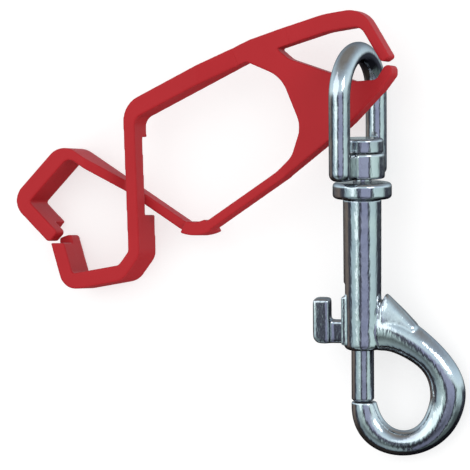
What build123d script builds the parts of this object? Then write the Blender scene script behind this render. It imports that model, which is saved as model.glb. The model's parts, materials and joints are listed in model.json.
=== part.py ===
"""Swivel-eye bolt snap with a scissor-action moulded clip hooked on its eye.

The snap and the clip lie on a table.  +Z is up from the table, +Y runs along the snap
from its hook to its eye, and the origin is under the middle of the whole object.
Each assembly is drawn in a frame of its own and then placed:
  snap: z up the barrel axis, x towards the hook, zero at the barrel's mouth
  eye:  z up the barrel axis, x from one leg of the eye to the other
  clip: x, y in the plane of its outline, z across its width, zero at the eyelet's centre
"""
from build123d import *
from math import asin, cos, degrees, radians, sin, sqrt
import os

# ---- driving dimensions of the bolt snap, mm ----
barrel_length = 33.4
barrel_mouth_radius = 4.1
barrel_top_radius = 4.25
barrel_edge_round = 1.2
collar_radius = 6.5
collar_height = 3.6
collar_round = 0.9
bolt_radius = 2.5
bolt_reach = 11.4             # how far the bolt stands out of the barrel's mouth
bolt_in_barrel = 11.3
bolt_chamfer = 0.5
bolt_travel = 8.0
running_gap = 0.05            # radial clearance of a shaft that slides or turns
end_gap = 0.15                # axial clearance behind a swivelling shoulder
hook_depth = 6.6              # across the hook, square to its plane
peak_half_depth = 2.7
hook_tip_gap = 0.12           # between the closed bolt and the hook's tip

# thumb lever
lever_gap = 3.0               # from the barrel wall to the lever's upright
lever_thickness = 3.7
lever_height = 10.0
lever_depth = 5.0
lever_base = 1.4
lever_stem_height = 5.2
lever_stem_depth = 3.0
lever_tenon = 1.5             # how deep its stem is let into the bolt
slot_side_gap = 0.12
slot_rail_depth = 5.4         # raised land that the slot is cut through
slot_rail_height = 12.0
slot_rail_rise = 0.35

# spring inside the barrel
spring_wire_radius = 0.33
spring_gap = 0.2              # from the spring to the bore
spring_turns = 12

# swivel stud
stud_radius = 2.0
stud_head_radius = 4.7
stud_head_height = 3.0
stud_plug_depth = 2.6

# eye
eye_wire_radius = 2.35
eye_leg_spacing = 19.3
eye_height = 29.9             # from the underside of its hub to the top of its arch
eye_hub_height = 5.7
eye_hub_radius = 5.0
eye_bar_depth = 4.3
eye_lift = 0.8                # gap between the collar and the hub
eye_foot_round = 1.6
eye_set_off = 0.95            # the loop stands this far off the middle of its hub

# how the snap lies
snap_pitch = 5.76             # the eye's end is raised
snap_yaw = 1.7
hook_roll = 10.5              # the hook's bulge hangs down to the table
eye_roll = 6.2                # the eye stands nearly on edge

# ---- driving dimensions of the moulded clip, mm ----
clip_width = 8.8              # across the jaws and the finger loop
head_width = 4.0              # across the eyelet's plate and the springy lower arm
lap_gap = 0.4                 # between the two half-width arms where they cross
upper_arm_thickness = 4.1
front_arm_thickness = 2.75
front_bend_thickness = 2.9
jaw_floor_thickness = 3.6
jaw_wall_thickness = 3.2
jaw_corner_thickness = 3.8
jaw_tip_thickness = 3.3
lower_arm_thickness = 2.1
heel_thickness = 3.0
heel_rise = 0.1
rear_arm_thickness = 2.1
finger_root_thickness = 4.0
finger_tip_thickness = 2.3
flex_gap = 0.12               # round the modelled knuckle of each flexing root
eye_offset = 3.3              # the clip hangs this far below the middle of the eye

# centrelines of the clip's arms: corner points with the bend radius at each
upper_arm_path = [(-30.3, 0.03), (-55.8, -11.8), (-54.4, -43.8), (-57.8, -48.1), (-71.1, -50.3), (-74.4, -39.8)]
upper_arm_bends = [4.2, 2.6, 3.0, 2.4]
lower_arm_path = [(-20.2, -26.8), (-40.6, -39.7), (-72.1, -20.2), (-83.7, -31.9), (-75.0, -40.1)]
lower_arm_bends = [8.0, 3.6, 2.4]
finger_path = [(-17.5, 4.5), (-8.6, 7.0), (-0.1, 8.1), (5.8, -1.4)]
finger_bends = [20.0, 4.3]


# ---- helpers ----
def unit(dx, dy):
    size = sqrt(dx * dx + dy * dy)
    return dx / size, dy / size


def offset_corner(before, corner, after, shift_in, shift_out):
    """Where two neighbouring runs meet once each is shifted sideways."""
    ax, ay = unit(corner[0] - before[0], corner[1] - before[1])
    bx, by = unit(after[0] - corner[0], after[1] - corner[1])
    px, py = corner[0] - ay * shift_in, corner[1] + ax * shift_in
    qx, qy = corner[0] - by * shift_out, corner[1] + bx * shift_out
    cross = ax * by - ay * bx
    along = ((qx - px) * by - (qy - py) * bx) / cross
    return px + ax * along, py + ay * along


def band(path, bends, widths, tip_round):
    """Outline of a strip that follows a centreline, with its own width on each run."""
    sides = []
    for hand in (1, -1):
        first = unit(path[1][0] - path[0][0], path[1][1] - path[0][1])
        last = unit(path[-1][0] - path[-2][0], path[-1][1] - path[-2][1])
        half = hand * widths[0] / 2
        points = [(path[0][0] - first[1] * half, path[0][1] + first[0] * half)]
        rounds = [0.0]
        for i in range(1, len(path) - 1):
            a, b, c = path[i - 1], path[i], path[i + 1]
            points.append(offset_corner(a, b, c, hand * widths[i - 1] / 2, hand * widths[i] / 2))
            turn = (b[0] - a[0]) * (c[1] - b[1]) - (b[1] - a[1]) * (c[0] - b[0])
            inside = turn * hand > 0
            half_width = (widths[i - 1] + widths[i]) / 4
            rounds.append(max(bends[i - 1] + (-half_width if inside else half_width), 0.4))
        half = hand * widths[-1] / 2
        points.append((path[-1][0] - last[1] * half, path[-1][1] + last[0] * half))
        rounds.append(tip_round)
        sides.append((points, rounds))
    outline = sides[0][0] + sides[1][0][::-1]
    rounds = sides[0][1] + sides[1][1][::-1]
    return make_face(FilletPolyline(*outline, radius=rounds, close=True))


def slab(face, low, high):
    return extrude(Pos(0, 0, low) * face, amount=high - low, dir=(0, 0, 1))


def block(x0, x1, y0, y1, z0, z1):
    """A box between two corners."""
    return Pos((x0 + x1) / 2, (y0 + y1) / 2, (z0 + z1) / 2) * Box(abs(x1 - x0), abs(y1 - y0), abs(z1 - z0))


def rod(radius, low, high):
    """A cylinder on the z axis between two heights."""
    return Pos(0, 0, (low + high) / 2) * Cylinder(radius, high - low)


def soften(solid, edges, radius):
    """Round the edges by the radius, or by less where the wall is thin."""
    limit = solid.max_fillet(edges, tolerance=0.05, max_iterations=12)
    return fillet(edges, min(radius, 0.9 * limit))


# ---- heights worked out up the snap's axis ----
bore_radius = bolt_radius + running_gap
collar_top = barrel_length + collar_height
hub_base = collar_top + eye_lift
hub_top = hub_base + eye_hub_height
stud_head_base = hub_top + end_gap
arch_radius = eye_leg_spacing / 2
arch_centre = hub_base + eye_height - eye_wire_radius - arch_radius
spring_low = bolt_in_barrel
spring_high = barrel_length - stud_plug_depth
stem_top = lever_base + lever_stem_height


# ---- snap body: barrel and hook in one casting ----
def hook_sections():
    """Centre, width and depth of the hook from its root in the barrel to its tip."""
    tip = -bolt_reach - hook_tip_gap
    return [
        (2.6, 4.2, 8.2, 5.6),
        (6.6, 4.0, 8.8, 6.2),
        (11.1, 1.7, 7.6, hook_depth),
        (14.9, -1.3, 6.9, hook_depth),
        (17.5, -4.7, 7.2, hook_depth),
        (18.8, -9.0, 7.8, hook_depth),
        (18.3, -12.8, 7.6, hook_depth),
        (16.4, -16.6, 6.9, hook_depth),
        (13.1, -19.5, 5.9, hook_depth - 0.3),
        (8.9, -20.6, 5.6, hook_depth - 0.6),
        (4.3, -19.35, 6.1, hook_depth - 0.8),
        (1.15, -15.7, 6.3, hook_depth - 0.9),
        (0.25, tip, 5.5, 5.4),
    ]


def make_hook():
    stations = hook_sections()
    # each section is square to the line through its neighbours
    faces = []
    for i, (x, z, width, depth) in enumerate(stations):
        before = stations[max(i - 1, 0)]
        after = stations[min(i + 1, len(stations) - 1)]
        dx, dz = unit(after[0] - before[0], after[1] - before[1])
        if i == 0:
            dx, dz = 1.0, 0.0
        if i == len(stations) - 1:
            dx, dz = 0.0, 1.0
        here = Plane(origin=(x, 0, z), x_dir=(-dz, 0, dx), z_dir=(dx, 0, dz))
        faces.append(here * Ellipse(width / 2, depth / 2))
    return loft(faces)


def make_hook_peak():
    """The pointed shoulder that rises beside the barrel where the hook leaves it."""
    outline = [(3.0, 5.6), (3.6, 9.2), (5.3, 12.7), (9.4, 8.7), (12.6, 5.2), (11.0, 2.1), (5.0, 2.6)]
    face = make_face(FilletPolyline(*outline, radius=[0.4, 1.2, 0.4, 6.0, 1.5, 1.0, 0.6], close=True))
    peak = extrude(Plane.XZ * face, amount=peak_half_depth, both=True)
    return soften(peak, peak.edges().filter_by(lambda e: abs(e.center().Y) > peak_half_depth - 0.1), 1.5)


def make_snap_body():
    barrel = Pos(0, 0, barrel_length / 2) * Cone(barrel_mouth_radius, barrel_top_radius, barrel_length)
    barrel = fillet(barrel.edges().sort_by(Axis.Z)[0], barrel_edge_round)
    rail_front = -barrel_mouth_radius - slot_rail_rise
    rail = block(rail_front, 0, -slot_rail_depth / 2, slot_rail_depth / 2, barrel_edge_round, slot_rail_height)
    rail = fillet(rail.edges().filter_by(Axis.Y).group_by(Axis.X)[0], slot_rail_rise)
    body = barrel + rail + make_hook() + make_hook_peak()
    body -= rod(bore_radius, -2.0, barrel_length + 1)
    slot_low = lever_base - slot_side_gap
    slot_high = stem_top + bolt_travel + slot_side_gap
    half = lever_stem_depth / 2 + slot_side_gap
    body -= block(-barrel_top_radius - 2, 0, -half, half, slot_low, slot_high)
    # the mouth and the gap that the bolt closes are kept open under the barrel
    body -= rod(bore_radius, -bolt_reach - hook_tip_gap, 0.5)
    return body


def make_collar():
    ring = rod(collar_radius, barrel_length, collar_top)
    ring = fillet(ring.edges(), collar_round)
    return ring - rod(stud_radius, barrel_length - 1, collar_top + 1)


# ---- bolt, lever and spring ----
def make_plunger():
    bolt = rod(bolt_radius, -bolt_reach, bolt_in_barrel)
    bolt = chamfer(bolt.edges().sort_by(Axis.Z)[0], bolt_chamfer)
    half = lever_stem_depth / 2
    bolt -= block(-bolt_radius - 1, lever_tenon - bolt_radius, -half, half, lever_base, stem_top)
    return bolt


def make_thumb_lever():
    back = -barrel_mouth_radius - lever_gap
    upright = block(
        back - lever_thickness, back, -lever_depth / 2, lever_depth / 2, lever_base, lever_base + lever_height
    )
    long_edges = upright.edges().filter_by(Axis.Y)
    heel = long_edges.sort_by(Axis.Z)[:2].sort_by(Axis.X)[0]
    upright = fillet(heel, 1.8)
    upright = fillet(upright.edges().filter_by(Axis.Y).sort_by(Axis.Z)[-2:], 0.5)
    half = lever_stem_depth / 2
    stem = block(back - 1, lever_tenon - bolt_radius, -half, half, lever_base, stem_top)
    return upright + stem


def make_plunger_spring():
    rise = spring_high - spring_low - 2 * spring_wire_radius
    radius = bore_radius - spring_gap - spring_wire_radius
    pitch = rise / spring_turns
    route = Pos(0, 0, spring_low + spring_wire_radius) * Helix(pitch, rise, radius)
    start = Plane(origin=route @ 0, z_dir=route % 0)
    return sweep(start * Circle(spring_wire_radius), path=route)


# ---- swivel ----
def make_swivel_stud():
    head = rod(stud_head_radius, stud_head_base, stud_head_base + stud_head_height)
    head = fillet(head.edges().sort_by(Axis.Z)[-1], 0.6)
    shank = rod(stud_radius, barrel_length - 0.5, stud_head_base + 0.5)
    plug = rod(bore_radius, spring_high, barrel_length)
    return head + shank + plug


def make_swivel_eye():
    side = arch_radius
    foot = hub_base + eye_hub_height / 2
    left = Line((-side, 0, foot), (-side, 0, arch_centre))
    arch = ThreePointArc((-side, 0, arch_centre), (0, 0, arch_centre + side), (side, 0, arch_centre))
    right = Line((side, 0, arch_centre), (side, 0, foot))
    start = Plane(origin=(-side, 0, foot), z_dir=(0, 0, 1))
    eye = sweep(start * Circle(eye_wire_radius), path=Wire([left, arch, right]))
    toe = rod(eye_wire_radius, hub_base, foot)
    toe = fillet(toe.edges().sort_by(Axis.Z)[0], eye_foot_round)
    eye += Pos(-side, 0, 0) * toe
    eye += Pos(side, 0, 0) * toe
    bar = block(-side, side, -eye_bar_depth / 2, eye_bar_depth / 2, hub_base, hub_top)
    eye += fillet(bar.edges().filter_by(Axis.X), 0.9)
    eye = Pos(0, -eye_set_off, 0) * eye
    hub = rod(eye_hub_radius, hub_base, hub_top)
    eye += fillet(hub.edges(), 0.5)
    return eye - rod(stud_radius + running_gap, hub_base - 1, hub_top + 1)


# ---- moulded clip ----
half_clip = clip_width / 2
half_head = head_width / 2
half_lap = lap_gap / 2


def knuckle(path, width, low, high, grow=0.0):
    """The round root of a flexing arm, or with a gap the socket it turns in."""
    return Pos(path[0][0], path[0][1], 0) * rod(width / 2 + grow, low - grow, high + grow)


def above_slope(high_x, high_z, low_x, low_z, end_x):
    """What is cut away where an arm's front face slopes down and then runs level."""
    top = half_clip + 1
    outline = Polyline((high_x, high_z), (low_x, low_z), (end_x, low_z), (end_x, top), (high_x, top), close=True)
    return extrude(Plane.XZ * make_face(outline), amount=60, both=True)


def root_corners(path, width):
    """The frame's two corners beside the root of an arm, set back behind its axis."""
    dx, dy = unit(path[1][0] - path[0][0], path[1][1] - path[0][1])
    back = 0.6 * width / 2
    x, y = path[0][0] - dx * back, path[0][1] - dy * back
    half = width / 2
    return (x - dy * half, y + dx * half), (x + dy * half, y - dx * half)


def make_clip_frame():
    """The eyelet's plate with its lower prong, and the stubs that the arms spring from."""
    upper_low, upper_high = root_corners(upper_arm_path, upper_arm_thickness)
    finger_high, finger_low = root_corners(finger_path, finger_root_thickness)
    lower_low, lower_high = root_corners(lower_arm_path, lower_arm_thickness)
    corners = [
        (upper_high, 0), ((-26.9, 3.8), 2), (finger_high, 0), (finger_low, 0),
        ((-20.3, 1.73), 0.3), ((-17.4, -0.62), 3), ((-1.6, -5.92), 5), ((3.6, -5.72), 1.8),
        ((5.4, -2.9), 1.0), ((7.1, -2.0), 0.9), ((7.3, -4.7), 1.4), ((4.9, -7.72), 6),
        ((-3.0, -15.42), 20), (lower_low, 0), (lower_high, 0),
        ((-16.7, -22.32), 5), ((-14.4, -15.62), 6), ((-19.2, -4.62), 8), ((-27.7, -1.1), 0.8), (upper_low, 0),
    ]
    points = [c[0] for c in corners]
    rounds = [c[1] for c in corners]
    outline = make_face(FilletPolyline(*points, radius=rounds, close=True))
    frame = slab(outline, -half_head, half_head)
    frame -= knuckle(upper_arm_path, upper_arm_thickness, -half_head, half_head, flex_gap)
    frame -= knuckle(finger_path, finger_root_thickness, -half_head, half_head, flex_gap)
    frame -= knuckle(lower_arm_path, lower_arm_thickness, -half_head, half_head, flex_gap)
    return frame


def make_eyelet_finger():
    widths = [finger_root_thickness, finger_root_thickness, finger_tip_thickness]
    strip = band(finger_path, finger_bends, widths, 0.7)
    root = knuckle(finger_path, finger_root_thickness, -half_head, half_head)
    return slab(strip, -half_head, half_head) + root


def make_upper_arm():
    """Upper side of the finger loop, front crossing arm and right-hand jaw."""
    widths = [upper_arm_thickness, front_arm_thickness, front_bend_thickness, jaw_floor_thickness]
    widths.append(jaw_wall_thickness)
    strip = band(upper_arm_path, upper_arm_bends, widths, 0.8)
    arm = slab(strip, -half_clip, half_clip)
    # only its front half passes the other arm
    lap_top = -17.4
    lap_low = -35.0
    arm -= block(-62, -50, lap_low, lap_top, -half_clip - 1, half_lap)
    # beside the finger loop its rear face is level with the eyelet's plate
    arm -= block(-62, -20, lap_top, 10, -half_clip - 1, -half_head)
    # its front face slopes down to the eyelet's plate
    arm -= above_slope(-39.0, half_clip, -30.0, half_head, -20.0)
    arm += knuckle(upper_arm_path, upper_arm_thickness, -half_head, half_head)
    # its tip keeps the rear half only
    arm -= block(-80, -69, -41.4, -35, -half_lap, half_clip + 1)
    return arm


def make_lower_arm():
    """Springy lower side of the finger loop, rear crossing arm and left-hand jaw."""
    widths = [lower_arm_thickness, rear_arm_thickness, jaw_corner_thickness, jaw_tip_thickness]
    strip = band(lower_arm_path, lower_arm_bends, widths, 0.8)
    arm = slab(strip, -half_clip, half_clip)
    # the run from the eyelet to the heel is as narrow as the eyelet's plate
    arm -= block(-38.0, -10, -45, -15, half_head, half_clip + 1)
    arm -= block(-38.0, -10, -45, -15, -half_clip - 1, -half_head)
    arm += knuckle(lower_arm_path, lower_arm_thickness, -half_head, half_head)
    # its front face slopes down from the jaw, so that only its rear half passes the other arm
    arm -= above_slope(-67.0, half_clip, -59.0, -half_lap, -45.0)
    arm -= block(-45.5, -38.0, -45, -10, -half_lap, half_clip + 1)
    # the heel stands out behind and is thicker than the arms on each side of it
    raised = [(x, y + heel_rise) for x, y in lower_arm_path]
    strip = band(raised, lower_arm_bends, [heel_thickness] * 4, 0.8)
    corners = [(-44.9, -40.6), (-41.2, -34.2), (-38.9, -34.2), (-35.9, -39.8), (-38.0, -43.0), (-43.0, -43.0)]
    zone = Polyline(*corners, close=True)
    arm += slab(strip, -half_clip, half_head) & slab(make_face(zone), -half_clip, half_head)
    # its tip keeps the front half only
    tip_cut = Pos(-77.2, -37.4, 0) * Rot(0, 0, -44) * block(0, 9, -4, 4, -half_clip - 1, half_lap)
    return arm - tip_cut


# ---- placing ----
axis_dir = Vector(0, 1, 0).rotate(Axis.X, snap_pitch).rotate(Axis.Z, -snap_yaw)
up_axis = Axis((0, 0, 0), axis_dir)
flat = Vector(0, 0, 1).cross(axis_dir) * -1
hook_dir = flat.normalized().rotate(up_axis, hook_roll)
eye_up = axis_dir.cross(flat.normalized()).normalized()
leg_dir = (eye_up * -1 if eye_up.Z < 0 else eye_up).rotate(up_axis, -eye_roll)
snap_place = Plane(origin=(0, 0, 0), x_dir=hook_dir, z_dir=axis_dir).location
eye_place = Plane(origin=(0, 0, 0), x_dir=leg_dir, z_dir=axis_dir).location

snap_makers = {
    "snap_body": make_snap_body,
    "collar": make_collar,
    "plunger": make_plunger,
    "thumb_lever": make_thumb_lever,
    "plunger_spring": make_plunger_spring,
    "swivel_stud": make_swivel_stud,
}
clip_makers = {
    "clip_frame": make_clip_frame,
    "eyelet_finger": make_eyelet_finger,
    "upper_arm": make_upper_arm,
    "lower_arm": make_lower_arm,
}

nodes = {}
for name, make in snap_makers.items():
    nodes[name] = snap_place * make()
nodes["swivel_eye"] = eye_place * make_swivel_eye()

# the snap is let down until it touches the table
lowest = min(shape.bounding_box().min.Z for shape in nodes.values())
wire_height = arch_centre + sqrt(arch_radius ** 2 - eye_offset ** 2)
eye_side = axis_dir.cross(leg_dir)
eyelet = axis_dir * wire_height - leg_dir * eye_offset - eye_side * eye_set_off - Vector(0, 0, lowest)

# the clip stands on its edge, its far jaw on the table and its eyelet on the eye
far_end = -lower_arm_path[3][0]
clip_roll = degrees(asin((eyelet.Z - half_clip) / far_end))
clip_x = Vector(cos(radians(clip_roll)), 0, sin(radians(clip_roll)))
clip_up = Vector(-sin(radians(clip_roll)), 0, cos(radians(clip_roll)))
clip_place = Plane(origin=eyelet, x_dir=clip_x, z_dir=clip_up).location

for name in nodes:
    nodes[name] = Pos(0, 0, -lowest) * nodes[name]
for name, make in clip_makers.items():
    nodes[name] = clip_place * make()

box = Compound(children=[Compound(shape.solids()) for shape in nodes.values()]).bounding_box()
shift = Vector(-(box.min.X + box.max.X) / 2, -(box.min.Y + box.max.Y) / 2, -box.min.Z)


def row_point(point):
    moved = point + shift
    return [round(moved.X, 3), round(moved.Y, 3), round(moved.Z, 3)]


def row_direction(vector):
    return [round(vector.X, 5), round(vector.Y, 5), round(vector.Z, 5)]


os.makedirs("parts", exist_ok=True)
for name, shape in nodes.items():
    placed = Pos(shift.X, shift.Y, shift.Z) * shape
    placed.label = name
    export_step(placed, "parts/" + name + ".step")

print("barrel mouth", row_point(Vector(0, 0, -lowest)))
print("barrel axis", row_direction(axis_dir))
print("hook direction", row_direction(hook_dir))
print("leg direction", row_direction(leg_dir))
print("eyelet", row_point(eyelet))
print("clip across", row_direction(clip_x))
print("clip up", row_direction(clip_up))
for label, path in (("upper", upper_arm_path), ("lower", lower_arm_path), ("finger", finger_path)):
    root = eyelet + clip_x * path[0][0] + Vector(0, 1, 0) * path[0][1]
    print(label + " root", row_point(root))
print("size", [round(box.size.X, 2), round(box.size.Y, 2), round(box.size.Z, 2)])
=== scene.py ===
"""Looks for the bolt snap and its moulded clip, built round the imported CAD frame."""
import bpy
import bmesh
import json
from collections import namedtuple
from math import atan, cos, pi, radians, sin, tan
from mathutils import Matrix, Vector


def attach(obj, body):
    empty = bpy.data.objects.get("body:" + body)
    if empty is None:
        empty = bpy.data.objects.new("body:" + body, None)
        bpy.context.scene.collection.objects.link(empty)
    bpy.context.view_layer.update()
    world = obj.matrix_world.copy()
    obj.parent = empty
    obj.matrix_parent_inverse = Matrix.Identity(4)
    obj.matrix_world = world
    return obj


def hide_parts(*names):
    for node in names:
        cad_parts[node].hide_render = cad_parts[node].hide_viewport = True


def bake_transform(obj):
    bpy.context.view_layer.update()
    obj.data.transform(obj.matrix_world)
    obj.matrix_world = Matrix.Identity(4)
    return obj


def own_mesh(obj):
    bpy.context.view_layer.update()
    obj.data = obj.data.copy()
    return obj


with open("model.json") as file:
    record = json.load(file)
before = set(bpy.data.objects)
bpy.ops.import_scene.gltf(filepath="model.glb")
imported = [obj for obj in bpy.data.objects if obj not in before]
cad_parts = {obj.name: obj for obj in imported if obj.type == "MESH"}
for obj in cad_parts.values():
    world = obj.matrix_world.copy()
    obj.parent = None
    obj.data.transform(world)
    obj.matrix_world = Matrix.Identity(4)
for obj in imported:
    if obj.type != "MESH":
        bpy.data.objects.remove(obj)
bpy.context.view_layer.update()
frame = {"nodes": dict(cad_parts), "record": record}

MM = 0.001
JOINTS = {j["name"]: j for j in frame["record"]["behaviour"]["joints"]}

# frames of the two assemblies, read off the joints
AXIS = Vector(JOINTS["plunger_slide"]["axis"]).normalized()
SWIVEL = Vector(JOINTS["eye_swivel"]["pos_m"])
UP = Vector(JOINTS["clip_swing"]["axis"]).normalized()
EYELET = Vector(JOINTS["clip_swing"]["pos_m"])
ACROSS = Vector((0, 1, 0)).cross(UP).normalized()


def frame_matrix(origin, x, z):
    """The matrix whose local x and z axes point the given ways."""
    y = z.cross(x)
    m = Matrix((x, y, z)).transposed().to_4x4()
    m.translation = origin
    return m


SIDE = AXIS.cross(Vector((1, 0, 0))).normalized()
SNAP = frame_matrix(SWIVEL, SIDE.cross(AXIS).normalized(), AXIS)
CLIP = frame_matrix(EYELET, ACROSS, UP)
MOUTH_DROP = 39.0 * MM            # from the swivel down to the barrel's mouth
HOOK_ROLL = radians(10.3)         # the hook's plane hangs down to the table


# ---------------------------------------------------------------- materials
def node(tree, kind, **settings):
    made = tree.nodes.new(kind)
    for key, value in settings.items():
        setattr(made, key, value)
    return made


def noise(tree, coords, scale, detail=3.0, stretch=(1, 1, 1)):
    mapping = node(tree, "ShaderNodeMapping")
    mapping.inputs["Scale"].default_value = stretch
    tree.links.new(coords, mapping.inputs["Vector"])
    tex = node(tree, "ShaderNodeTexNoise")
    tex.inputs["Scale"].default_value = scale
    tex.inputs["Detail"].default_value = detail
    tree.links.new(mapping.outputs["Vector"], tex.inputs["Vector"])
    return tex.outputs["Fac"]


def ramp(tree, value, stops):
    made = node(tree, "ShaderNodeValToRGB")
    elements = made.color_ramp.elements
    while len(elements) < len(stops):
        elements.new(0.5)
    for element, (position, colour) in zip(elements, stops):
        element.position = position
        element.color = (*colour, 1.0)
    tree.links.new(value, made.inputs["Fac"])
    return made.outputs["Color"]


def grey(level):
    return (level, level, level)


def map_range(tree, value, start, end, low, high, **settings):
    """Maps start..end to low..high; low may be a socket."""
    made = node(tree, "ShaderNodeMapRange", **settings)
    made.inputs["From Min"].default_value = start
    made.inputs["From Max"].default_value = end
    if isinstance(low, bpy.types.NodeSocket):
        tree.links.new(low, made.inputs["To Min"])
    else:
        made.inputs["To Min"].default_value = low
    made.inputs["To Max"].default_value = high
    tree.links.new(value, made.inputs["Value"])
    return made.outputs["Result"]


def mix(tree, factor, first, second):
    """Mixes two colours; first may be a plain grey."""
    made = node(tree, "ShaderNodeMix", data_type="RGBA")
    factor_in, first_in, second_in = (made.inputs[i] for i in (0, 6, 7))
    tree.links.new(factor, factor_in)
    if isinstance(first, float):
        first_in.default_value = (first, first, first, 1.0)
    else:
        tree.links.new(first, first_in)
    tree.links.new(second, second_in)
    return made.outputs[2]


def bump(tree, height, strength, distance, under=None):
    made = node(tree, "ShaderNodeBump")
    made.inputs["Strength"].default_value = strength
    made.inputs["Distance"].default_value = distance
    tree.links.new(height, made.inputs["Height"])
    if under is not None:
        tree.links.new(under, made.inputs["Normal"])
    return made.outputs["Normal"]


def new_material(name):
    material = bpy.data.materials.new(name)
    material.use_nodes = True
    tree = material.node_tree
    shader = tree.nodes["Principled BSDF"]
    coords = node(tree, "ShaderNodeTexCoord").outputs["Object"]
    return material, tree, shader, coords


def plated(name, light, dark, rough, waviness, pitting):
    """Bright plate: faint colour drift, soft waves from the casting, fine pits along the snap."""
    material, tree, shader, coords = new_material(name)
    shader.inputs["Metallic"].default_value = 1.0
    shader.inputs["Specular Tint"].default_value = (0.22, 0.20, 0.20, 1.0)
    drift = noise(tree, coords, scale=160.0, detail=2.0)
    tree.links.new(ramp(tree, drift, [(0.35, dark), (0.65, light)]), shader.inputs["Base Color"])
    worn = noise(tree, coords, scale=900.0, detail=6.0)
    tree.links.new(map_range(tree, worn, 0.0, 1.0, rough * 0.6, rough * 1.5), shader.inputs["Roughness"])
    waves = bump(tree, noise(tree, coords, scale=260.0, detail=1.5), waviness, distance=0.4 * MM)
    marks = noise(tree, coords, scale=1500.0, detail=3.0, stretch=(1.0, 0.3, 1.0))
    tree.links.new(bump(tree, marks, pitting, distance=0.1 * MM, under=waves), shader.inputs["Normal"])
    return material


def moulded(name, base, deep):
    """Satin moulded plastic with a very fine eroded texture."""
    material, tree, shader, coords = new_material(name)
    drift = noise(tree, coords, scale=90.0, detail=3.0)
    tree.links.new(ramp(tree, drift, [(0.3, deep), (0.7, base)]), shader.inputs["Base Color"])
    grain = noise(tree, coords, scale=3200.0, detail=2.0)
    tree.links.new(map_range(tree, grain, 0.0, 1.0, 0.42, 0.58), shader.inputs["Roughness"])
    shader.inputs["Specular IOR Level"].default_value = 0.18
    soft = bump(tree, noise(tree, coords, scale=420.0, detail=2.0), strength=0.10, distance=0.3 * MM)
    fine = bump(tree, grain, strength=0.16, distance=0.05 * MM, under=soft)
    tree.links.new(fine, shader.inputs["Normal"])
    return material


def drawn_wire(name):
    """Bright wire with fine streaks."""
    material, tree, shader, coords = new_material(name)
    shader.inputs["Metallic"].default_value = 1.0
    streaks = noise(tree, coords, scale=2400.0, detail=4.0, stretch=(1.0, 0.1, 1.0))
    colour = ramp(tree, streaks, [(0.3, (0.30, 0.30, 0.32)), (0.7, (0.50, 0.50, 0.52))])
    tree.links.new(colour, shader.inputs["Base Color"])
    tree.links.new(map_range(tree, streaks, 0.0, 1.0, 0.25, 0.45), shader.inputs["Roughness"])
    return material


CASTING = plated(
    "plated_casting", light=(0.68, 0.71, 0.72), dark=(0.57, 0.60, 0.65),
    rough=0.09, waviness=0.17, pitting=0.52,
)
STEEL = plated(
    "plated_steel", light=(0.62, 0.65, 0.67), dark=(0.52, 0.54, 0.59),
    rough=0.10, waviness=0.14, pitting=0.45,
)
RED = moulded("red_plastic", base=(0.425, 0.0155, 0.0215), deep=(0.400, 0.0135, 0.0190))
WIRE = drawn_wire("spring_steel")


# ---------------------------------------------------------------- mesh helpers
def joined_copy(name, nodes, place):
    """One mesh with copies of the CAD nodes, in the coordinates of place."""
    bm = bmesh.new()
    for n in nodes:
        bm.from_mesh(frame["nodes"][n].data)
    bmesh.ops.transform(bm, matrix=place.inverted(), verts=bm.verts)
    bmesh.ops.remove_doubles(bm, verts=bm.verts, dist=1e-7)
    mesh = bpy.data.meshes.new(name)
    bm.to_mesh(mesh)
    bm.free()
    made = bpy.data.objects.new(name, mesh)
    bpy.context.scene.collection.objects.link(made)
    return made


def add_block(obj, centre, along, lengths, half_width, half_depth):
    """Adds a closed box to a mesh: centre and along in its middle plane, half_depth to either side."""
    back, front = lengths
    side = Vector((-along.y, along.x, 0))
    bm = bmesh.new()
    bm.from_mesh(obj.data)
    corners = []
    for z in (-half_depth, half_depth):
        for a, b in ((-back, -1), (front, -1), (front, 1), (-back, 1)):
            flat = Vector((centre.x, centre.y, 0)) + along * a + side * (b * half_width)
            corners.append(bm.verts.new((flat.x, flat.y, z)))
    for face in ((3, 2, 1, 0), (4, 5, 6, 7), (0, 1, 5, 4), (1, 2, 6, 5), (2, 3, 7, 6), (3, 0, 4, 7)):
        bm.faces.new([corners[i] for i in face])
    bm.to_mesh(obj.data)
    bm.free()


def apply_modifiers(obj):
    """Keeps the shape that a piece's modifiers give it."""
    graph = bpy.context.evaluated_depsgraph_get()
    mesh = bpy.data.meshes.new_from_object(obj.evaluated_get(graph))
    obj.modifiers.clear()
    obj.data = mesh


def soften(obj, voxel, passes):
    """Makes one even skin and rounds its edges a little, like a casting or a moulding."""
    remesh = obj.modifiers.new("skin", "REMESH")
    remesh.mode = "VOXEL"
    remesh.voxel_size = voxel
    remesh.use_smooth_shade = True
    relax = obj.modifiers.new("relax", "SMOOTH")
    relax.factor = 0.5
    relax.iterations = passes
    bpy.context.view_layer.update()
    apply_modifiers(obj)


def finish_piece(obj, material, slot, *nodes):
    """Gives a piece its material, and lets it stand for CAD nodes; slot is not used."""
    obj.data.materials.clear()
    obj.data.materials.append(material)
    for polygon in obj.data.polygons:
        polygon.use_smooth = True
        polygon.material_index = 0
    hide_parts(*nodes)


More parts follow.
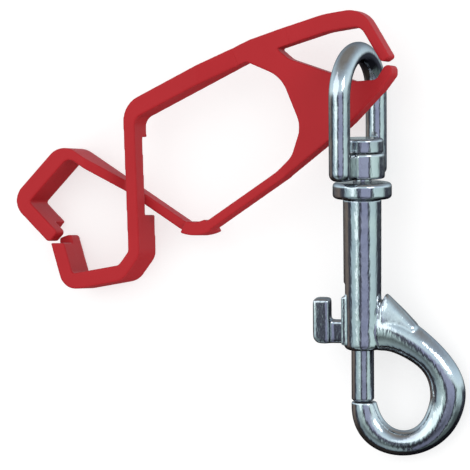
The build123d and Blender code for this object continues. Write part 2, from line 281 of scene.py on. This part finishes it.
def thin_peak(mesh):
    """Thins the hook's pointed shoulder from the hook's crest to its tip, outside the barrel."""
    to_hook = Matrix.Rotation(-HOOK_ROLL, 4, "Z") @ Matrix.Translation((0, 0, MOUTH_DROP))
    from_hook = to_hook.inverted()
    crest = Vector((6.6 * MM, 0, 4.4 * MM))
    towards_tip = Vector((0.30, 0, 0.95))
    peak_height = 8.0 * MM
    barrel_face, fade = 4.1 * MM, 0.8 * MM
    tip_share = 0.5
    for vert in mesh.vertices:
        p = to_hook @ vert.co
        rise = (p - crest).dot(towards_tip) / peak_height
        clear = (p.x - barrel_face) / fade
        if rise > 0 and clear > 0:
            rise = min(rise, 1.0)
            p.y *= 1 - tip_share * rise * rise * (2 - rise) * min(clear, 1.0)
            vert.co = from_hook @ p


def cast_piece(name, cad_node, body, material, slot, voxel, passes, shape=None):
    """A rounded skin in place of one CAD node; shape is a last change to its mesh."""
    piece = joined_copy(name, [cad_node], SNAP)
    soften(piece, voxel, passes)
    if shape:
        shape(piece.data)
    piece.data.transform(SNAP)
    finish_piece(piece, material, slot, cad_node)
    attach(piece, body)
    return piece


# ---------------------------------------------------------------- the snap
cast_piece("snap_casting", "snap_body", "snap", CASTING, "plated_casting", 0.2 * MM, 11, thin_peak)
cast_piece("collar_ring", "collar", "snap", CASTING, "plated_casting", 0.15 * MM, 5)
cast_piece("stud_head", "swivel_stud", "snap", STEEL, "plated_steel", 0.15 * MM, 4)
cast_piece("eye_casting", "swivel_eye", "eye", CASTING, "plated_casting", 0.2 * MM, 9)
cast_piece("bolt_rod", "plunger", "bolt", STEEL, "plated_steel", 0.13 * MM, 3)
cast_piece("lever_thumb", "thumb_lever", "bolt", STEEL, "plated_steel", 0.24 * MM, 40)

# the spring: a copy of the CAD coil with its own mesh; in the real snap it is pressed towards its top as the
# bolt slides back
coil = joined_copy("spring_coil", ["plunger_spring"], SNAP)
coil.data.transform(SNAP)
finish_piece(coil, WIRE, "spring_steel", "plunger_spring")
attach(coil, "snap")
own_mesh(coil)

# ---------------------------------------------------------------- the clip
Root = namedtuple("Root", "joint along half_thickness cut_radius filled_behind bend_length")
ROOTS = {
    "upper": Root("upper_arm_flex", Vector((-0.907, -0.421, 0)), 2.05 * MM, 4.4 * MM, 3.0 * MM, 8.0 * MM),
    "lower": Root("lower_arm_flex", Vector((-0.845, -0.534, 0)), 1.05 * MM, 3.4 * MM, 1.8 * MM, 9.0 * MM),
    "finger": Root("eyelet_finger_flex", Vector((0.961, 0.277, 0)), 2.0 * MM, 3.8 * MM, 2.8 * MM, 7.0 * MM),
}
ROOT_FILLED_AHEAD = 1.0 * MM
PLATE_HALF_DEPTH = 2.0 * MM
BEYOND_ROOT = 6.0 * MM            # a point that is surely in the arm
BEFORE_ROOT = 7.0 * MM            # and one that is surely in the plate
CLIP_NODES = {"clip": "clip_frame", "upper": "upper_arm", "lower": "lower_arm", "finger": "eyelet_finger"}

clip = joined_copy("clip_whole", list(CLIP_NODES.values()), CLIP)
root_points = {key: CLIP.inverted() @ Vector(JOINTS[root.joint]["pos_m"]) for key, root in ROOTS.items()}
for key, root in ROOTS.items():
    lengths = (root.filled_behind, ROOT_FILLED_AHEAD)
    add_block(clip, root_points[key], root.along.normalized(), lengths, root.half_thickness, PLATE_HALF_DEPTH)
soften(clip, 0.2 * MM, 8)

bm = bmesh.new()
bm.from_mesh(clip.data)
bpy.data.objects.remove(clip)
for key, root in ROOTS.items():
    point = root_points[key]
    near = [f for f in bm.faces if all((v.co - point).length < root.cut_radius for v in f.verts)]
    parts = set(near)
    for face in near:
        parts.update(face.edges)
        parts.update(face.verts)
    cut = bmesh.ops.bisect_plane(bm, geom=list(parts), dist=1e-8, plane_co=point, plane_no=root.along)
    edges = [g for g in cut["geom_cut"] if isinstance(g, bmesh.types.BMEdge)]
    bmesh.ops.split_edges(bm, edges=edges)

# the connected pieces that the cuts leave
label = {}
islands = []
for seed in bm.verts:
    if seed in label:
        continue
    label[seed] = len(islands)
    island = [seed]
    stack = [seed]
    while stack:
        vert = stack.pop()
        for edge in vert.link_edges:
            other = edge.other_vert(vert)
            if other not in label:
                label[other] = len(islands)
                island.append(other)
                stack.append(other)
    islands.append(island)


def island_of(point):
    """The connected piece of the clip that lies nearest to a point."""
    best = min(bm.verts, key=lambda v: (v.co - point).length_squared)
    return label[best]


def piece_from(mark, name):
    """A closed object made of one connected piece."""
    verts = islands[mark]
    number = {v: i for i, v in enumerate(verts)}
    faces = {f for v in verts for f in v.link_faces}
    part = bmesh.new()
    made = [part.verts.new(v.co) for v in verts]
    for face in sorted(faces, key=lambda f: f.index):
        part.faces.new([made[number[v]] for v in face.verts])
    open_edges = [e for e in part.edges if e.is_boundary]
    bmesh.ops.holes_fill(part, edges=open_edges, sides=0)
    bmesh.ops.recalc_face_normals(part, faces=part.faces)
    if part.calc_volume(signed=True) < 0:
        bmesh.ops.reverse_faces(part, faces=part.faces)
    mesh = bpy.data.meshes.new(name)
    part.to_mesh(mesh)
    part.free()
    mesh.transform(CLIP)
    obj = bpy.data.objects.new(name, mesh)
    bpy.context.scene.collection.objects.link(obj)
    return obj


bm.faces.index_update()
marks = {key: island_of(root_points[key] + root.along * BEYOND_ROOT) for key, root in ROOTS.items()}
marks["clip"] = island_of(root_points["upper"] - ROOTS["upper"].along * BEFORE_ROOT)
clip_pieces = {}
for key, mark in marks.items():
    clip_pieces[key] = piece_from(mark, "clip_" + ("plate" if key == "clip" else key))
    finish_piece(clip_pieces[key], RED, "red_plastic", CLIP_NODES[key])
    clip_pieces[key].visible_glossy = False
bm.free()

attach(clip_pieces["clip"], "clip")
for key, root in ROOTS.items():
    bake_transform(clip_pieces[key])

# ---------------------------------------------------------------- floor, light, camera
floor_mesh = bpy.data.meshes.new("floor")
FLOOR_HALF = 4.0
corners = [(x * FLOOR_HALF, y * FLOOR_HALF, 0) for x, y in ((-1, -1), (1, -1), (1, 1), (-1, 1))]
floor_mesh.from_pydata(corners, [], [(0, 1, 2, 3)])
floor = bpy.data.objects.new("floor", floor_mesh)
bpy.context.scene.collection.objects.link(floor)
# a light table: it glows evenly, so the shadows on it stay soft
material, tree, shader, coords = new_material("pale_floor")
tone = ramp(tree, noise(tree, coords, scale=3.0, detail=2.0), [(0.3, grey(0.43)), (0.7, grey(0.45))])
tree.links.new(tone, shader.inputs["Base Color"])
shader.inputs["Emission Color"].default_value = (1.0, 1.0, 1.0, 1.0)
shader.inputs["Emission Strength"].default_value = 0.62
shader.inputs["Roughness"].default_value = 0.9
shader.inputs["Specular IOR Level"].default_value = 0.1
floor_mesh.materials.append(material)
floor.visible_glossy = False

# the studio: a pale tent with darker strips, so that bright metal shows bands
PALE = (0.60, 0.78, 0.77)
PALER = (0.74, 0.94, 0.93)
GREY_BLUE = (0.46, 0.60, 0.66)
VIOLET = (0.40, 0.43, 0.59)
DARK = (0.060, 0.065, 0.085)
SLATE = (0.13, 0.14, 0.18)
BROWN = (0.25, 0.20, 0.17)
# the strips run along the snap; each angle is round the row's y axis, from straight up
STRIPS = [
    (-175, DARK), (-84, BROWN), (-70, DARK), (-58, DARK), (-49, GREY_BLUE), (-12, PALER),
    (-6, PALE), (-2, SLATE), (7, DARK), (13, VIOLET), (50, VIOLET), (55, DARK),
    (60, DARK), (68, PALER), (104, PALE), (122, DARK),
]
# above the strips the tent is plain: pale blue, then grey and brown towards the eye's end
ABOVE = [
    (0.54, (0.92, 1.10, 1.15)), (0.68, (0.74, 0.92, 1.02)),
    (0.82, (0.42, 0.49, 0.55)), (0.95, (0.27, 0.25, 0.23)),
]
# towards the hook's end the tent darkens, most of all low down
HOOK_END = [(0.15, grey(0.15)), (0.35, grey(0.50)), (0.58, grey(0.50)), (0.80, grey(0.22))]
EVEN_TENT = 0.93

world = bpy.data.worlds.new("studio")
bpy.context.scene.world = world
bpy.context.scene.view_settings.view_transform = "Standard"
world.use_nodes = True
tree = world.node_tree
background = tree.nodes["Background"]
split = node(tree, "ShaderNodeSeparateXYZ")
tree.links.new(node(tree, "ShaderNodeTexCoord").outputs["Generated"], split.inputs[0])
x, y, z = split.outputs
around = node(tree, "ShaderNodeMath", operation="ARCTAN2")
tree.links.new(x, around.inputs[0])
tree.links.new(z, around.inputs[1])
turn = map_range(tree, around.outputs[0], -pi, pi, 0.0, 1.0)
strips = ramp(tree, turn, [((angle + 180.0) / 360.0, colour) for angle, colour in STRIPS])
above = ramp(tree, map_range(tree, y, -1.0, 1.0, 0.0, 1.0), ABOVE)
share_above = map_range(tree, y, -0.06, 0.18, 0.0, 1.0, interpolation_type="SMOOTHSTEP")
tent = mix(tree, share_above, strips, above)
shade = map_range(tree, y, -0.50, -0.19, ramp(tree, z, HOOK_END), 1.0)
shaded = node(tree, "ShaderNodeVectorMath", operation="SCALE")
tree.links.new(tent, shaded.inputs[0])
tree.links.new(shade, shaded.inputs["Scale"])
# only reflections see the strips: everything else is lit by an even pale tent
in_reflection = node(tree, "ShaderNodeLightPath").outputs["Is Glossy Ray"]
tree.links.new(mix(tree, in_reflection, EVEN_TENT, shaded.outputs[0]), background.inputs["Color"])
background.inputs["Strength"].default_value = 1.0


def softbox(name, place, size, watts):
    """A soft lamp that looks at the row's origin."""
    light = bpy.data.lights.new(name, "AREA")
    light.shape = "RECTANGLE"
    light.size, light.size_y = size
    light.energy = watts
    made = bpy.data.objects.new(name, light)
    made.location = place
    made.rotation_mode = "QUATERNION"
    made.rotation_quaternion = (-Vector(place)).to_track_quat("-Z", "Y")
    bpy.context.scene.collection.objects.link(made)


softbox("key", place=(-0.45, 0.35, 1.0), size=(1.0, 1.2), watts=2.4)
softbox("fill", place=(0.75, 0.30, 0.55), size=(0.3, 0.4), watts=1.2)

# the camera looks down from a little to the snap's side, with the snap's axis upright
VIEW_TILT = radians(20.5)
PICTURE_WIDTH = 103.4 * MM
MOUTH_IN_PICTURE = (28.1 * MM, -25.2 * MM)    # the barrel's mouth from the picture's middle
LENS, SENSOR = 250.0, 36.0
back = Vector((sin(VIEW_TILT), 0, cos(VIEW_TILT)))
right = Vector((cos(VIEW_TILT), 0, -sin(VIEW_TILT)))
mouth = SWIVEL - AXIS * MOUTH_DROP
target = mouth - right * MOUTH_IN_PICTURE[0] - Vector((0, MOUTH_IN_PICTURE[1], 0))
half_angle = atan(SENSOR / 2 / LENS)
camera_data = bpy.data.cameras.new("camera")
camera_data.lens = LENS
camera_data.sensor_width = SENSOR
camera_data.clip_start, camera_data.clip_end = 0.01, 20.0
camera = bpy.data.objects.new("camera", camera_data)
camera.location = target + back * (PICTURE_WIDTH / 2 / tan(half_angle))
camera.rotation_mode = "QUATERNION"
camera.rotation_quaternion = Matrix((right, Vector((0, 1, 0)), back)).transposed().to_quaternion()
bpy.context.scene.collection.objects.link(camera)
bpy.context.scene.camera = camera

bpy.context.view_layer.update()
